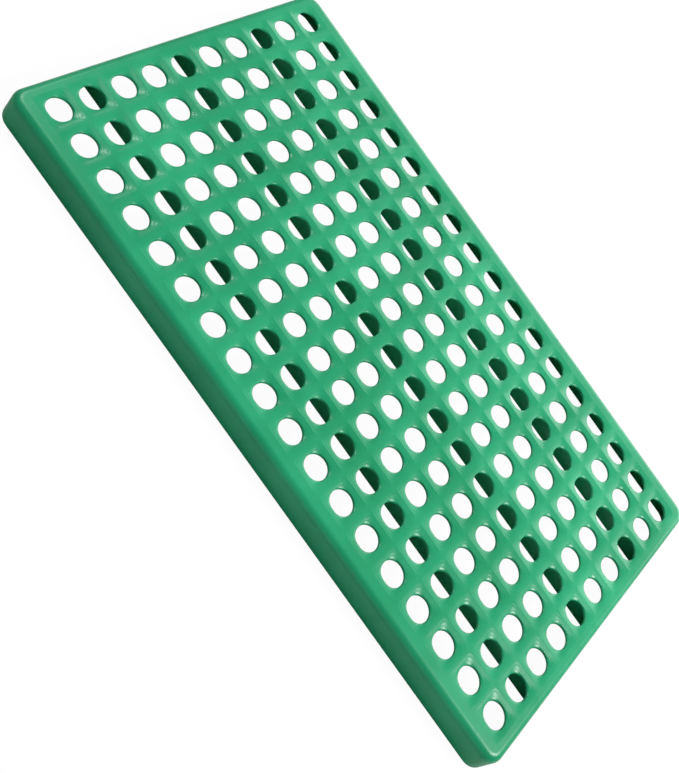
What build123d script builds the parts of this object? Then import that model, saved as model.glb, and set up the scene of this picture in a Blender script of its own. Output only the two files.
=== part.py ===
from build123d import *
import os
from math import radians, sin, tan

# Perforated plug tray: one injection moulding, a flat deck with a square grid of
# countersunk plug holes, a rounded edge, a short drafted skirt all round and three
# lengthwise ribs underneath. The moulding is divided into named regions that meet
# face to face, so that every hole stays open between simple, nearly convex solids.
#
# Frame: X across the width, Y along the length, Z up. The origin is at the centre of
# the footprint, on the plane of the skirt's foot, and the deck is on top.

# ---- driving sizes, in millimetres and degrees ----
LENGTH = 530.0  # overall, across the foot of the skirt
WIDTH = 310.0
HEIGHT = 22.0  # foot of the skirt to the top of the deck
PITCH = 28.4  # hole spacing, the same both ways
HOLE_RADIUS = 9.3  # straight throat of a plug hole
LIP_FLARE = 1.3  # how far the countersunk lip stands outside the throat
LIP_DEPTH = 1.3
EDGE_LAND = 3.5  # least flat deck between the outermost lips and the rounded edge
DECK_THICKNESS = 2.7
RIM_THICKNESS = 2.0  # skirt wall at its foot
EDGE_RADIUS = 6.0  # outside rounding where the deck turns down
CORNER_RADIUS = 12.0  # outside vertical corners, at deck level
DRAFT = 3.0  # lean of the skirt's outer face, for release from the mould
RIB_THICKNESS = 2.0
RIB_CLEARANCE = 3.1  # from the plane that the skirt stands on up to the ribs
RIB_SPACING = 3  # columns of holes from one rib to the next
BAND_ANGLE = 60.0  # around each hole, where the webs end and the cross bands begin

# ---- what follows from them ----
UNDERSIDE = HEIGHT - DECK_THICKNESS  # underside of the deck
FOOT_RUN = EDGE_RADIUS + HEIGHT * tan(radians(DRAFT))  # flat deck to the foot's outside
DECK_X = WIDTH / 2 - FOOT_RUN  # half-sizes of the flat deck inside the rounded edge
DECK_Y = LENGTH / 2 - FOOT_RUN
DECK_CORNER = CORNER_RADIUS - EDGE_RADIUS
ROLL_FOOT = HEIGHT - EDGE_RADIUS  # where the rounded edge hands over to the skirt
LIP_RADIUS = HOLE_RADIUS + LIP_FLARE
WEB_HALF = HOLE_RADIUS * sin(radians(BAND_ANGLE))  # half-length of a web, along Y
OVERSHOOT = 1.0  # how far a cutter runs past the faces that it opens


def hole_line(half_size):
    """Centres of as many holes as fit along a deck of this half-size, about its middle."""
    count = 1 + int(2 * (half_size - EDGE_LAND - LIP_RADIUS) / PITCH)
    return [(i - (count - 1) / 2) * PITCH for i in range(count)]


def rib_line():
    """Places of the ribs, outward from the middle gap between two columns of holes."""
    gaps = [(a + b) / 2 for a, b in zip(COLUMN_X, COLUMN_X[1:])]
    first = (len(gaps) // 2) % RIB_SPACING
    return gaps[first::RIB_SPACING]


COLUMN_X = hole_line(DECK_X)
ROW_Y = hole_line(DECK_Y)

# The four quadrants of the plan, as (name, sign of X, sign of Y, turn about Z).
QUADRANTS = (
    ("right_back", 1, 1, 0),
    ("left_back", -1, 1, 90),
    ("left_front", -1, -1, 180),
    ("right_front", 1, -1, 270),
)
# The four sides, as (name, half-size of the deck across it, half-length of its run, turn).
SIDES = (
    ("right", DECK_X, DECK_Y - DECK_CORNER, 0),
    ("back", DECK_Y, DECK_X - DECK_CORNER, 90),
    ("left", DECK_X, DECK_Y - DECK_CORNER, 180),
    ("front", DECK_Y, DECK_X - DECK_CORNER, 270),
)


def block(low, high):
    """A box between two opposite corners."""
    size = [b - a for a, b in zip(low, high)]
    middle = [(a + b) / 2 for a, b in zip(low, high)]
    return Pos(*middle) * Box(*size)


def hole_cutter():
    """The air of one plug hole: a straight throat that opens into a conical lip."""
    flare = (LIP_RADIUS - HOLE_RADIUS) / LIP_DEPTH
    profile = [
        (0, UNDERSIDE - OVERSHOOT),
        (HOLE_RADIUS, UNDERSIDE - OVERSHOOT),
        (HOLE_RADIUS, HEIGHT - LIP_DEPTH),
        (LIP_RADIUS + flare * OVERSHOOT, HEIGHT + OVERSHOOT),
        (0, HEIGHT + OVERSHOOT),
    ]
    return revolve(Plane.XZ * make_face(Polyline(*profile, close=True)), Axis.Z)


def cut_rows(blank, rows):
    """A blank with the plug holes of these rows cut out of it."""
    cutter = hole_cutter()
    return blank - [Pos(x, y, 0) * cutter for y in rows for x in COLUMN_X]


def cross_band():
    """The deck between the first two rows of holes, scalloped by both of them."""
    low = (-DECK_X, ROW_Y[0] + WEB_HALF, UNDERSIDE)
    high = (DECK_X, ROW_Y[1] - WEB_HALF, HEIGHT)
    return cut_rows(block(low, high), ROW_Y[:2])


def end_band():
    """The deck between the first row of holes and the front edge, with round corners."""
    plan = RectangleRounded(2 * DECK_X, 2 * DECK_Y, DECK_CORNER)
    plate = Pos(0, 0, UNDERSIDE) * extrude(plan, DECK_THICKNESS)
    low = (-WIDTH, -LENGTH, 0)
    high = (WIDTH, ROW_Y[0] - WEB_HALF, HEIGHT + OVERSHOOT)
    return cut_rows(plate & block(low, high), ROW_Y[:1])


def row_webs():
    """The webs between the holes of the first row, each in a front and a back half.

    A web spans from one hole's centre to the next, and the cut leaves what is between.
    """
    stations = [-DECK_X, *COLUMN_X, DECK_X]
    y = ROW_Y[0]
    webs = []
    for left, right in zip(stations, stations[1:]):
        for front, back in ((y - WEB_HALF, y), (y, y + WEB_HALF)):
            blank = block((left, front, UNDERSIDE), (right, back, HEIGHT))
            webs.append(cut_rows(blank, ROW_Y[:1]).solid())
    return Compound(children=webs)


def wall_section():
    """Section of the rounded edge and skirt: first axis outward from the flat deck, second up."""
    shoulder = (EDGE_RADIUS, HEIGHT)
    armpit = (EDGE_RADIUS - DECK_THICKNESS, UNDERSIDE)
    outline = [
        (0, HEIGHT),
        shoulder,
        (FOOT_RUN, 0),
        (FOOT_RUN - RIM_THICKNESS, 0),
        armpit,
        (0, UNDERSIDE),
    ]
    section = make_face(Polyline(*outline, close=True))
    for point, radius in ((shoulder, EDGE_RADIUS), (armpit, EDGE_RADIUS - DECK_THICKNESS)):
        section = fillet(section.vertices().sort_by_distance(point)[0], radius)
    return section


def slice_section(low, high):
    """The part of the wall section between two heights."""
    window = Pos(0, (low + high) / 2) * Rectangle(4 * FOOT_RUN, high - low)
    return wall_section() & window


def straight_wall(section, offset, half_run, turn):
    """A section carried along one side of the tray."""
    run = extrude(Plane.XZ * (Pos(offset, 0) * section), half_run, both=True)
    return Rot(0, 0, turn) * run


def corner_wall(section, sign_x, sign_y, turn):
    """The same section turned through a quarter circle at one corner."""
    swept = revolve(Plane.XZ * (Pos(DECK_CORNER, 0) * section), Axis.Z, 90)
    centre = Pos(sign_x * (DECK_X - DECK_CORNER), sign_y * (DECK_Y - DECK_CORNER), 0)
    return centre * Rot(0, 0, turn) * swept


def rib(x):
    """A lengthwise rib under the deck, ending on the inner faces of the two end walls."""
    half_length = DECK_Y + FOOT_RUN
    depth = UNDERSIDE - RIB_CLEARANCE
    window = Pos(half_length / 2, UNDERSIDE - depth / 2) * Rectangle(half_length, depth)
    half = (window - Pos(DECK_Y, 0) * wall_section()).faces().sort_by(SortBy.AREA)[-1]
    profile = half + mirror(half, Plane.YZ)
    return Pos(x, 0, 0) * extrude(Plane.YZ * profile, RIB_THICKNESS / 2, both=True)


def build_nodes():
    """Every node of the tray, by name."""
    nodes = {}
    end = end_band()
    nodes["cross_band_01"] = end
    band = cross_band()
    rows = len(ROW_Y)
    for i in range(1, rows):
        nodes[f"cross_band_{i + 1:02d}"] = Pos(0, (i - 1) * PITCH, 0) * band
    nodes[f"cross_band_{rows + 1:02d}"] = Rot(0, 0, 180) * end

    webs = row_webs()
    for i in range(rows):
        nodes[f"row_webs_{i + 1:02d}"] = Pos(0, i * PITCH, 0) * webs

    roll = slice_section(ROLL_FOOT, HEIGHT)
    skirt = slice_section(0, ROLL_FOOT)
    for part_name, section in (("edge", roll), ("skirt", skirt)):
        for side, offset, half_run, turn in SIDES:
            nodes[f"{part_name}_{side}"] = straight_wall(section, offset, half_run, turn)
        for corner, sign_x, sign_y, turn in QUADRANTS:
            nodes[f"{part_name}_corner_{corner}"] = corner_wall(section, sign_x, sign_y, turn)

    for number, x in enumerate(rib_line(), 1):
        nodes[f"rib_{number}"] = rib(x)
    return nodes


os.makedirs("parts", exist_ok=True)
for name, shape in build_nodes().items():
    export_step(shape, f"parts/{name}.step")
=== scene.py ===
# %% [markdown]
# # A moulded propagation tray
# The real object is one injection moulding in green polypropylene: a flat deck full of round plug
# holes, a rounded edge, a short skirt and three ribs underneath. The CAD model holds its exact
# sizes. This lesson wraps finer surfaces around those sizes, and gives them the plastic's finish.

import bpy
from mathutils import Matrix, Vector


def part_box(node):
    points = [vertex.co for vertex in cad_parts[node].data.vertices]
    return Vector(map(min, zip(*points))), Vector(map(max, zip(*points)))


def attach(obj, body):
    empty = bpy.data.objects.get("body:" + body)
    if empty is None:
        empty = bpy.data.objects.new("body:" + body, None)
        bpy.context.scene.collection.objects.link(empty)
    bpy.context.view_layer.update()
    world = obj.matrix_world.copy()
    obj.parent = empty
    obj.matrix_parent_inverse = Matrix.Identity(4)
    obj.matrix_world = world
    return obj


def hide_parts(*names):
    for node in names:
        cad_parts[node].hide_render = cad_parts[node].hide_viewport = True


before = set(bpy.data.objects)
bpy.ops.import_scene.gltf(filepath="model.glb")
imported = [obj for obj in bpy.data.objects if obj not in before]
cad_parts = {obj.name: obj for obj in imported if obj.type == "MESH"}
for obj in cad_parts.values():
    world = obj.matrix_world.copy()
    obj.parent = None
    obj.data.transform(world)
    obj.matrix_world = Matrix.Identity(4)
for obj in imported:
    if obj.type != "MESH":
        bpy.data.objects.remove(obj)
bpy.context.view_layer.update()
print("CAD nodes:", len(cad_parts))

# %% [markdown]
# ## Sizes that every surface shares
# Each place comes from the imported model, so the surfaces land where the CAD is. They are kept in
# millimetres while shapes are worked out, because a mould maker thinks in millimetres.

# %% Read the sizes
import math

import bpy
import numpy as np
from mathutils import Matrix, Vector

MM = 0.001


def corners(node):
    """Lowest and highest corner of a CAD node, in millimetres."""
    low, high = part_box(node)
    return np.array(low) / MM, np.array(high) / MM


web_nodes = sorted(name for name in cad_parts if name.startswith("row_webs_"))
rows = len(web_nodes)
first_low, first_high = corners(web_nodes[0])
last_low, last_high = corners(web_nodes[-1])
pitch = (last_low[1] - first_low[1]) / (rows - 1)
row_y = (first_low[1] + first_high[1]) / 2 + pitch * np.arange(rows)
deck_top = first_high[2]
deck_under = first_low[2]
deck_x = first_high[0]
deck_y = corners("edge_back")[0][1]
columns = int(2 * deck_x / pitch)
column_x = pitch * (np.arange(columns) - (columns - 1) / 2)
foot_x = corners("skirt_right")[1][0]
foot_run = foot_x - deck_x
print(f"{columns} x {rows} holes, pitch {pitch:.2f} mm, deck {2 * deck_x:.1f} x {2 * deck_y:.1f} mm")

# %% [markdown]
# ## From arrays to a mesh
# A surface is a grid of points: one index runs around an outline, the other from outline to
# outline. Every cell of the grid is one four-cornered face. Points that fall together, where a
# grid closes on itself or two cells meet, are merged, so each piece comes out as a closed skin.

# %% Helpers for grids and pieces
SHARP = math.radians(38)  # edges that turn more than this stay crisp


def outline(angle, half_x, half_y, squareness):
    """A closed curve that goes from an ellipse to a rectangle.

    The point at an angle is (half_x cos, half_y sin), divided by the length of (cos, sin) in the
    norm of that squareness: 2 leaves an ellipse, more squares it up, infinity is a rectangle.
    """
    c, s = np.cos(angle), np.sin(angle)
    if math.isinf(squareness):
        length = np.maximum(abs(c), abs(s))
    else:
        length = (abs(c) ** squareness + abs(s) ** squareness) ** (1 / squareness)
    return np.stack([half_x * c / length, half_y * s / length], axis=-1)


def grid_faces(rings, around, close_rings=False):
    """Faces of a grid whose rings close on themselves: each joins (r, k), (r, k + 1) and ring r + 1."""
    r = np.arange(rings if close_rings else rings - 1)[:, None]
    k = np.arange(around)[None, :]
    r_next, k_next = (r + 1) % rings, (k + 1) % around
    faces = [r * around + k, r_next * around + k, r_next * around + k_next, r * around + k_next]
    return np.stack(faces, axis=-1).reshape(-1, 4)


def make_piece(name, points, faces, stands_for):
    """A closed smooth piece from points in millimetres and four-cornered faces, riding on the tray."""
    merged, index = np.unique(np.round(points, 4), axis=0, return_inverse=True)
    faces = index.reshape(-1)[faces]
    mesh = bpy.data.meshes.new(name)
    mesh.from_pydata((merged * MM).tolist(), [], faces.tolist())
    mesh.shade_smooth()
    mesh.set_sharp_from_angle(angle=SHARP)
    piece = bpy.data.objects.new(name, mesh)
    bpy.context.scene.collection.objects.link(piece)
    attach(piece, "root")
    if stands_for:
        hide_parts(*stands_for)
    return piece


pieces = []

# %% [markdown]
# ## The deck, row by row
# Around every plug hole the deck sinks into a shallow square dish, and the dish runs over a
# rounded lip into a round throat. What stays at full height is a broad band between two rows and
# a thin ridge between two holes of a row. One could cut holes with booleans, but the way from
# square to round would be faceted. So one cell is a stack of outlines, carried down from the
# square of the hole grid to the throat and back out along the underside.

# %% Outlines of one hole cell
AROUND = 32
half = pitch / 2
flat = math.inf
dish_depth = 0.62
ridge_drop = 0.14  # how far the ridge's shoulder rounds off before the dish begins
step_x = np.array([0.00, 0.15, 0.55, 0.85, 1.15, 1.75, 2.45, 3.05, 3.55, 3.95])
step_y = np.array([0.00, 0.50, 1.20, 1.75, 2.20, 2.80, 3.30, 3.70, 4.00, 4.20])
square = np.array([flat, 16, 12, 11, 10, 9, 8, 7.4, 6.8, 6.3])
ridge_edge = ridge_drop * np.clip((step_x - 0.35) / 0.8, 0, 1) ** 2
slump = (dish_depth - ridge_drop) * np.clip((step_x - 0.5) / 3.45, 0, 1) ** 2
# half-size along X, half-size along Y, squareness, depth below the deck, all in millimetres
dish = list(zip(half - step_x, half - step_y, square, ridge_edge + slump))
hole_radius = 9.3
lip_radius = 0.55
lip_land = 0.06  # how far the lip's foot stands outside the throat
lip_squareness = 6.0
lip_rounding = 3.7  # how much squareness is lost on the way down the lip
tilt = np.radians(np.array([24, 36, 48, 60, 72, 86]))
lip = [
    (
        hole_radius + lip_land + lip_radius * (1 - math.sin(t)),
        hole_radius + lip_land + lip_radius * (1 - math.sin(t)),
        lip_squareness - lip_rounding * (t / tilt[-1]) ** 0.8,
        dish_depth + lip_radius * (1 - math.cos(t)),
    )
    for t in tilt
]
thickness = deck_top - deck_under
throat = [
    (hole_radius + 0.04, hole_radius + 0.04, 2.08, 1.50),
    (hole_radius + 0.02, hole_radius + 0.02, 2, 1.95),
    (hole_radius, hole_radius, 2, 2.30),
]
under = [
    (hole_radius, hole_radius, 2, thickness - 0.12),
    (hole_radius + 0.12, hole_radius + 0.12, 2, thickness),
    (half - 2, half - 2, 4, thickness),
    (half, half, flat, thickness),
]
section = dish + lip + throat + under
angle = 2 * np.pi * np.arange(AROUND) / AROUND
cell = np.array(
    [
        np.column_stack([outline(angle, a, b, n), np.full(AROUND, deck_top - depth)])
        for a, b, n, depth in section
    ]
)
print(f"one cell: {len(section)} outlines of {AROUND} points")


# %% Build the rows
def deck_row(y):
    """Points and faces of one strip: the cell repeated along X, with walls where the strip ends.

    Rings run anticlockwise and go down, so the faces are turned over to look outward.
    """
    rings = len(section)
    ring_faces = grid_faces(rings, AROUND)
    k = np.arange(AROUND)
    k_next = (k + 1) % AROUND
    last = (rings - 1) * AROUND
    wall = np.stack([k, k_next, last + k_next, last + k], -1)
    middle = angle + np.pi / AROUND
    side_x = abs(np.cos(middle)) > abs(np.sin(middle))
    all_points, all_faces = [], []
    for i, x in enumerate(column_x):
        start = i * cell.shape[0] * AROUND
        all_points.append((cell + [x, y, 0]).reshape(-1, 3))
        ends = ~side_x
        if i == 0:
            ends = ends | (side_x & (np.cos(middle) < 0))
        if i == columns - 1:
            ends = ends | (side_x & (np.cos(middle) > 0))
        all_faces.append(start + np.vstack([ring_faces, wall[ends]])[:, ::-1])
    return np.vstack(all_points), np.vstack(all_faces)


for i, y in enumerate(row_y):
    points, faces = deck_row(y)
    replaced = [f"cross_band_{i + 1:02d}", f"row_webs_{i + 1:02d}"]
    if i == rows - 1:
        replaced.append(f"cross_band_{rows + 1:02d}")
    pieces.append(make_piece(f"deck_row_{i + 1:02d}", points, faces, replaced))
print("faces per deck row:", len(pieces[0].data.polygons))

# %% [markdown]
# ## The rounded edge and the skirt
# The deck turns down over a generous rounding into a wall that leans out a little, so that the
# moulding leaves its mould. Inside, the wall follows at an even thickness. One section carried
# around a rounded rectangle makes all of it, with no seam at the corners.

# %% Carry the section around the tray
EDGE_RADIUS = 6.0
DECK_CORNER = 6.0
INNER_RADIUS = EDGE_RADIUS - thickness
WALL = 2.0
FOOT_ROUND = 0.4
inner_x, inner_y = deck_x - DECK_CORNER, deck_y - DECK_CORNER
land_x, land_y = columns * pitch / 2 - inner_x, rows * pitch / 2 - inner_y


def arc(centre, radius, start, stop, steps):
    """Points on an arc; the angle starts at straight up and turns outward."""
    t = np.radians(np.linspace(start, stop, steps))
    return np.column_stack([centre[0] + radius * np.sin(t), centre[1] + radius * np.cos(t)])


lean = math.degrees(math.atan2(foot_run - EDGE_RADIUS, deck_top))
inner_lean = math.degrees(math.atan2(foot_run - WALL - INNER_RADIUS, deck_under))
outer_start = EDGE_RADIUS - EDGE_RADIUS * math.tan(math.radians((90 - lean) / 2))
inner_start = INNER_RADIUS - INNER_RADIUS * math.tan(math.radians((90 - inner_lean) / 2))
roll_out = arc((outer_start, deck_top - EDGE_RADIUS), EDGE_RADIUS, 0, 90 - lean, 12)
roll_in = arc((inner_start, deck_under - INNER_RADIUS), INNER_RADIUS, 90 - inner_lean, 0, 7)
foot_out = arc((foot_run - FOOT_ROUND, FOOT_ROUND), FOOT_ROUND, 90, 180, 4)
foot_in = arc((foot_run - WALL + FOOT_ROUND, FOOT_ROUND), FOOT_ROUND, 180, 270, 4)
slope = (roll_out[-1] - foot_out[0])[None, :]
wall_out = foot_out[:1] + slope * np.array([[0.8], [0.55], [0.3], [0.1]])
slope_in = (roll_in[0] - foot_in[-1])[None, :]
wall_in = foot_in[-1:] + slope_in * np.array([[0.25], [0.6], [0.85]])
skin = np.vstack([roll_out, wall_out, foot_out, foot_in, wall_in, roll_in])
rim_section = [
    (land_x, land_y, flat, deck_top),
    (land_x + 0.3, land_y + 0.2, 12, deck_top),
    (land_x + 2.6, land_y + 1.1, 4, deck_top),
    (DECK_CORNER - 0.9, DECK_CORNER - 0.4, 2.2, deck_top),
]
rim_section += [(DECK_CORNER + u, DECK_CORNER + u, 2, z) for u, z in skin]
rim_section += [(land_x + 2, land_y + 1, 4, deck_under), (land_x, land_y, flat, deck_under)]


def rim_path(steps_x, steps_y, steps_corner):
    """Stations around the tray: a point on the inner rectangle and the angle of the way out."""
    run_x = np.linspace(-inner_x, inner_x, steps_x + 1)
    run_y = np.linspace(-inner_y, inner_y, steps_y + 1)
    bend = np.linspace(0, np.pi / 2, steps_corner + 1)[1:-1]
    fixed = np.ones(len(bend))
    right = np.column_stack([np.full(len(run_y), inner_x), run_y, np.zeros(len(run_y))])
    corner_1 = np.column_stack([inner_x * fixed, inner_y * fixed, bend])
    back = np.column_stack([run_x[::-1], np.full(len(run_x), inner_y), np.full(len(run_x), np.pi / 2)])
    corner_2 = np.column_stack([-inner_x * fixed, inner_y * fixed, bend + np.pi / 2])
    half_way = np.vstack([right, corner_1, back, corner_2])
    return np.vstack([half_way, half_way * [-1, -1, 1] + [0, 0, np.pi]])


path = rim_path(20, 36, 12)
rim = np.array(
    [
        np.column_stack([path[:, :2] + outline(path[:, 2], a, b, n), np.full(len(path), z)])
        for a, b, n, z in rim_section
    ]
)
rim_faces = grid_faces(len(rim_section), len(path), close_rings=True)
rim_nodes = sorted(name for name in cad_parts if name.startswith(("edge_", "skirt_")))
pieces.append(make_piece("rim_and_skirt", rim.reshape(-1, 3), rim_faces, rim_nodes))
print("rim faces:", len(rim_faces), "standing for", len(rim_nodes), "CAD nodes")

# %% [markdown]
# ## Ribs under the deck
# Three plates run lengthwise under the deck and keep it from sagging. A moulded rib is thinner at
# its free edge than at its root, its edge is rounded, and a small fillet joins it to the deck.

# %% Build the ribs
def rib_points(x, y_low, y_high, z_low, z_high, thick, stations):
    """A rib's section, left side up and right side down, carried along Y."""
    height = z_high - z_low
    tall = np.array([0.0, 0.012, 0.04, 0.30, 0.62, 0.90, 0.955, 0.985, 1.0, 1.02])
    broad = thick / 2 * np.array([0.45, 0.70, 0.82, 0.88, 0.94, 1.0, 1.12, 1.45, 1.9, 1.9])
    side = np.column_stack([broad, z_low + tall * height])
    loop = np.vstack([side * [-1, 1], side[::-1]])
    y = np.linspace(y_low, y_high, stations)
    points = np.zeros((stations, len(loop), 3))
    points[:, :, 0] = x + loop[None, :, 0]
    points[:, :, 1] = y[:, None]
    points[:, :, 2] = loop[None, :, 1]
    return points


def rib_faces(stations, count):
    """The skin between stations, and at each end a strip of faces between the two sides."""
    skin_faces = grid_faces(stations, count)[:, ::-1]
    i = np.arange(count // 2 - 1)
    cap = np.stack([i, i + 1, count - 2 - i, count - 1 - i], -1)
    return np.vstack([skin_faces, cap[:, ::-1], cap + (stations - 1) * count])


for name in sorted(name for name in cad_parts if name.startswith("rib_")):
    low, high = corners(name)
    middle = (low[0] + high[0]) / 2
    grid = rib_points(middle, low[1] - 0.2, high[1] + 0.2, low[2], high[2], high[0] - low[0], 38)
    faces = rib_faces(grid.shape[0], grid.shape[1])
    pieces.append(make_piece(f"lengthwise_{name}", grid.reshape(-1, 3), faces, [name]))
print("pieces so far:", len(pieces))

# %% [markdown]
# ## Moulded polypropylene
# Polypropylene is a soft, slightly waxy plastic with a refractive index near 1.49. The mould was
# lightly blasted, so the skin has a fine grain and a satin sheen. Faint flow marks spread from the
# gate, and handling leaves some places smoother than others.

# %% Helpers for materials
def linear(hex_colour):
    """An sRGB hex colour as linear light, with an opaque alpha."""
    srgb = np.array([int(hex_colour[i : i + 2], 16) / 255 for i in (0, 2, 4)])
    light = np.where(srgb <= 0.04045, srgb / 12.92, ((srgb + 0.055) / 1.055) ** 2.4)
    return (*light.tolist(), 1.0)


def add_node(tree, kind, settings=None, links=None):
    """Adds one shader node, gives it its settings and joins its inputs to other nodes' outputs."""
    node = tree.nodes.new(kind)
    for key, value in (settings or {}).items():
        if isinstance(key, str) and hasattr(node, key):
            setattr(node, key, value)
        else:
            node.inputs[key].default_value = value
    for key, output in (links or {}).items():
        tree.links.new(output, node.inputs[key])
    return node


# %% The green plastic
def moulded_polypropylene(name, deep, plain, pale):
    """Satin green plastic: colour drifts slowly, gloss varies with flow and touch, and a fine grain."""
    material = bpy.data.materials.new(name)
    material.use_nodes = True
    tree = material.node_tree
    shader = tree.nodes["Principled BSDF"]
    shader.inputs["IOR"].default_value = 1.49
    shader.inputs["Specular IOR Level"].default_value = 0.40
    place = add_node(tree, "ShaderNodeTexCoord").outputs["Object"]
    # the colour drifts over about 70 mm
    drift_settings = {"Scale": 14.0, "Detail": 3.0, "Roughness": 0.55}
    drift = add_node(tree, "ShaderNodeTexNoise", drift_settings, {"Vector": place})
    tint = add_node(tree, "ShaderNodeValToRGB", None, {"Fac": drift.outputs["Fac"]})
    ramp = tint.color_ramp
    ramp.elements[0].position, ramp.elements[0].color = 0.30, linear(deep)
    ramp.elements[1].position, ramp.elements[1].color = 0.72, linear(pale)
    ramp.elements.new(0.5).color = linear(plain)
    tree.links.new(tint.outputs["Color"], shader.inputs["Base Color"])
    # flow streaks in the gloss, about 11 mm across and drawn out along the tray
    along = add_node(tree, "ShaderNodeMapping", {"Scale": (90.0, 12.0, 90.0)}, {"Vector": place})
    stretched = {"Vector": along.outputs["Vector"]}
    flow = add_node(tree, "ShaderNodeTexNoise", {"Scale": 1.0, "Detail": 4.0}, stretched)
    gloss = add_node(
        tree,
        "ShaderNodeMapRange",
        {"From Min": 0.3, "From Max": 0.7, "To Min": 0.27, "To Max": 0.36},
        {"Value": flow.outputs["Fac"]},
    )
    tree.links.new(gloss.outputs["Result"], shader.inputs["Roughness"])
    # blasted-mould grain, about 0.5 mm from crest to crest
    grain = add_node(tree, "ShaderNodeTexNoise", {"Scale": 2000.0, "Detail": 2.0}, {"Vector": place})
    sink = add_node(tree, "ShaderNodeTexNoise", {"Scale": 60.0, "Detail": 2.0}, {"Vector": place})
    low = add_node(
        tree, "ShaderNodeBump", {"Strength": 0.12, "Distance": 0.0006}, {"Height": sink.outputs["Fac"]}
    )
    fine = add_node(
        tree,
        "ShaderNodeBump",
        {"Strength": 0.10, "Distance": 0.00003},
        {"Height": grain.outputs["Fac"], "Normal": low.outputs["Normal"]},
    )
    tree.links.new(fine.outputs["Normal"], shader.inputs["Normal"])
    return material


green = moulded_polypropylene("moulded_green_polypropylene", "139360", "189C6A", "24A975")
for piece in pieces:
    piece.data.materials.append(green)
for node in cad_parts.values():
    node.data.materials.clear()
    node.data.materials.append(green)
print("material given to", len(pieces), "pieces")

# %% [markdown]
# ## Floor, light and camera
# The tray stands on a plain pale floor. A broad soft panel stands beyond the far long side, so the
# near wall stays in shade, and two smaller ones shine from the ends. A thin strip and a weak fill
# pick out the near edge. The floor glows a little towards the camera, as a lit table does, and the
# holes read as clean light shapes.

# %% Floor
def pale_floor():
    """White table top: the camera sees it evenly lit, everything else sees plain matt paint."""
    material = bpy.data.materials.new("pale_table_paint")
    material.use_nodes = True
    tree = material.node_tree
    tree.nodes.remove(tree.nodes["Principled BSDF"])
    paint = add_node(tree, "ShaderNodeBsdfDiffuse", {"Color": linear("C8CCC8")})
    glow = add_node(tree, "ShaderNodeEmission", {"Color": linear("FFFFFF"), "Strength": 0.96})
    thin = add_node(tree, "ShaderNodeBsdfDiffuse", {"Color": linear("3A3A3A")})
    both = add_node(tree, "ShaderNodeAddShader", None, {0: glow.outputs[0], 1: thin.outputs[0]})
    seen = add_node(tree, "ShaderNodeLightPath")
    mix = add_node(
        tree,
        "ShaderNodeMixShader",
        None,
        {"Fac": seen.outputs["Is Camera Ray"], 1: paint.outputs[0], 2: both.outputs[0]},
    )
    tree.links.new(mix.outputs[0], tree.nodes["Material Output"].inputs["Surface"])
    return material


floor_mesh = bpy.data.meshes.new("floor")
reach = 6.0
floor_mesh.from_pydata(
    [(-reach, -reach, 0), (reach, -reach, 0), (reach, reach, 0), (-reach, reach, 0)], [], [(0, 1, 2, 3)]
)
floor = bpy.data.objects.new("floor", floor_mesh)
bpy.context.scene.collection.objects.link(floor)
floor.data.materials.append(pale_floor())


# %% Lights
def soft_light(name, place, aim, wide, tall, power):
    """A soft light panel at a place in metres, turned towards a point, with its width level."""
    light = bpy.data.lights.new(name, "AREA")
    light.shape = "RECTANGLE"
    light.size = wide
    light.size_y = tall
    light.energy = power
    lamp = bpy.data.objects.new(name, light)
    lamp.location = place
    lamp.rotation_euler = (Vector(aim) - Vector(place)).to_track_quat("-Z", "Y").to_euler()
    bpy.context.scene.collection.objects.link(lamp)
    return lamp


soft_light("far_panel", (2.1, -0.3, 0.75), (0, 0, 0), 3.0, 0.9, 28)
soft_light("back_panel", (0.55, 1.2, 1.4), (0, 0, 0), 0.6, 0.6, 12)
soft_light("front_panel", (0.45, -1.2, 1.4), (0, 0, 0), 0.6, 0.6, 26)
soft_light("edge_strip", (1.0, 0.1, 1.75), (0, 0, 0), 1.0, 0.10, 0.7)
soft_light("near_fill", (-1.6, -0.2, 0.5), (0, 0, 0), 1.6, 0.7, 2.2)
world = bpy.data.worlds.new("soft_room")
bpy.context.scene.world = world
world.use_nodes = True
world.node_tree.nodes["Background"].inputs["Color"].default_value = linear("E8EEF0")
world.node_tree.nodes["Background"].inputs["Strength"].default_value = 0.26
bpy.context.scene.view_settings.view_transform = "Standard"

# %% Camera
camera_data = bpy.data.cameras.new("camera")
camera_data.sensor_fit = "HORIZONTAL"
camera_data.sensor_width = 36
camera_data.lens = 56.314
camera = bpy.data.objects.new("camera", camera_data)
eye = Vector((-0.54758, -0.00077, 0.56654))
target = Vector((-0.07244, -0.0094, 0.022))
roll = math.radians(-55.141)
forward = (target - eye).normalized()
level = forward.cross(Vector((0, 0, 1))).normalized()
upright = level.cross(forward)
up = upright * math.cos(roll) + level * math.sin(roll)
right = forward.cross(up)
turn = Matrix((right, up, -forward)).transposed()
camera.matrix_world = Matrix.Translation(eye) @ turn.to_4x4()
bpy.context.scene.collection.objects.link(camera)
bpy.context.scene.camera = camera
